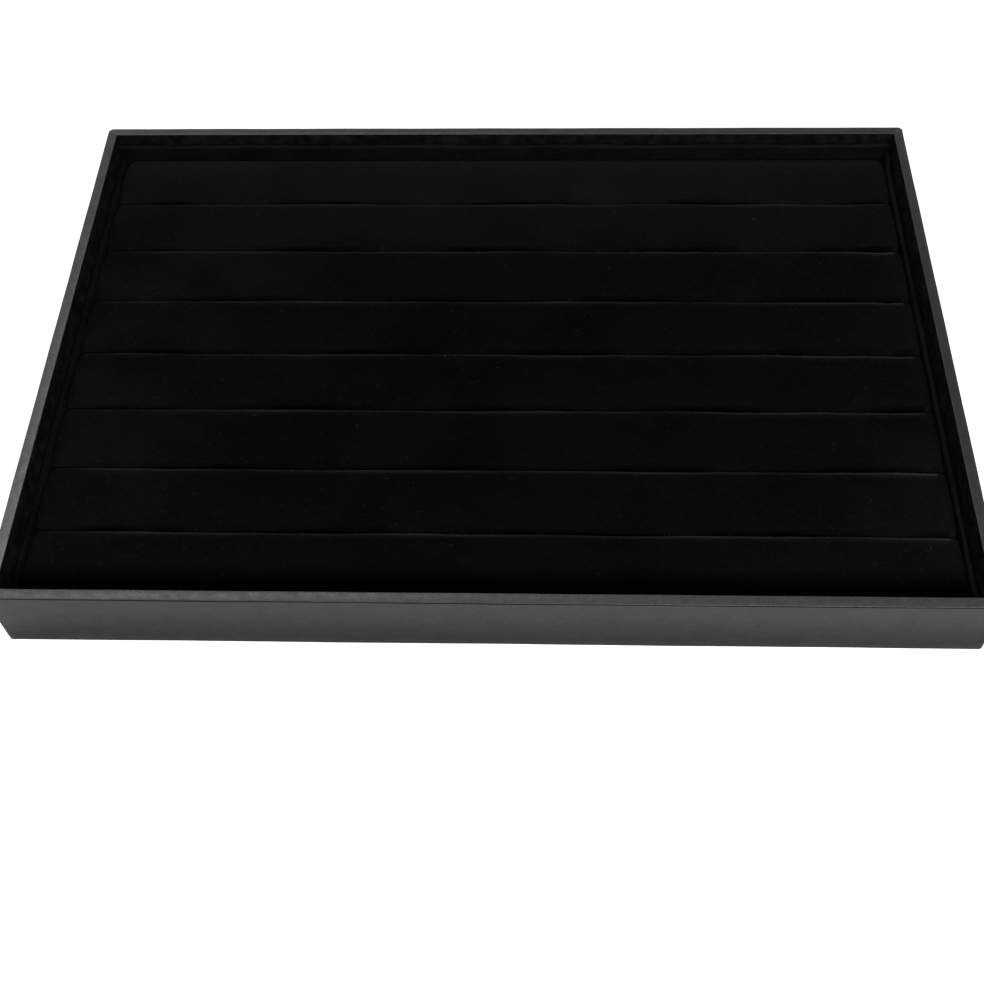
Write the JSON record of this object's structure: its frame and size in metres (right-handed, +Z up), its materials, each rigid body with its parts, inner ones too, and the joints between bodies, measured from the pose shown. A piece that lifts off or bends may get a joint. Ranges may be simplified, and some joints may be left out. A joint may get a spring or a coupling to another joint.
{
  "type": "jewelry tray",
  "caption": "Flat rectangular display tray with thin leatherette walls, a velvet-lined inside and a lift-out velvet ring pad with parallel slits.",
  "frame": {"origin": "middle of the underside, on the surface that the tray stands on", "axes": "+X along the long side to the right, +Y to the back, +Z up"},
  "size_m": [0.35, 0.24, 0.03],
  "materials": {
    "fibreboard": "matte",
    "leatherette": "satin",
    "velvet": "matte",
    "foam": "matte",
    "card": "matte",
    "floor_lining": "matte",
    "base_cover": "matte"
  },
  "bodies": {
    "tray": {"front_rail": "fibreboard", "right_rail": "fibreboard", "back_rail": "fibreboard", "left_rail": "fibreboard", "front_rim_wrap": "leatherette", "right_rim_wrap": "leatherette", "back_rim_wrap": "leatherette", "left_rim_wrap": "leatherette", "outer_wrap": "leatherette", "base_board": "fibreboard", "floor_lining": "floor_lining", "base_cover": "base_cover", "front_liner_card": "card", "right_liner_card": "card", "back_liner_card": "card", "left_liner_card": "card", "front_liner_velvet": "velvet", "right_liner_velvet": "velvet", "back_liner_velvet": "velvet", "left_liner_velvet": "velvet"},
    "ring_pad": {"insert_board": "card", "velvet_cover": "velvet", "foam_strip_1": "foam", "foam_strip_2": "foam", "foam_strip_3": "foam", "foam_strip_4": "foam", "foam_strip_5": "foam", "foam_strip_6": "foam", "foam_strip_7": "foam", "foam_strip_8": "foam"}
  },
  "joints": [
    {"name": "pad_lift", "type": "slide", "parent": "tray", "child": "ring_pad", "axis": [0, 0, 1], "range_m": [0, 0.06]}
  ]
}
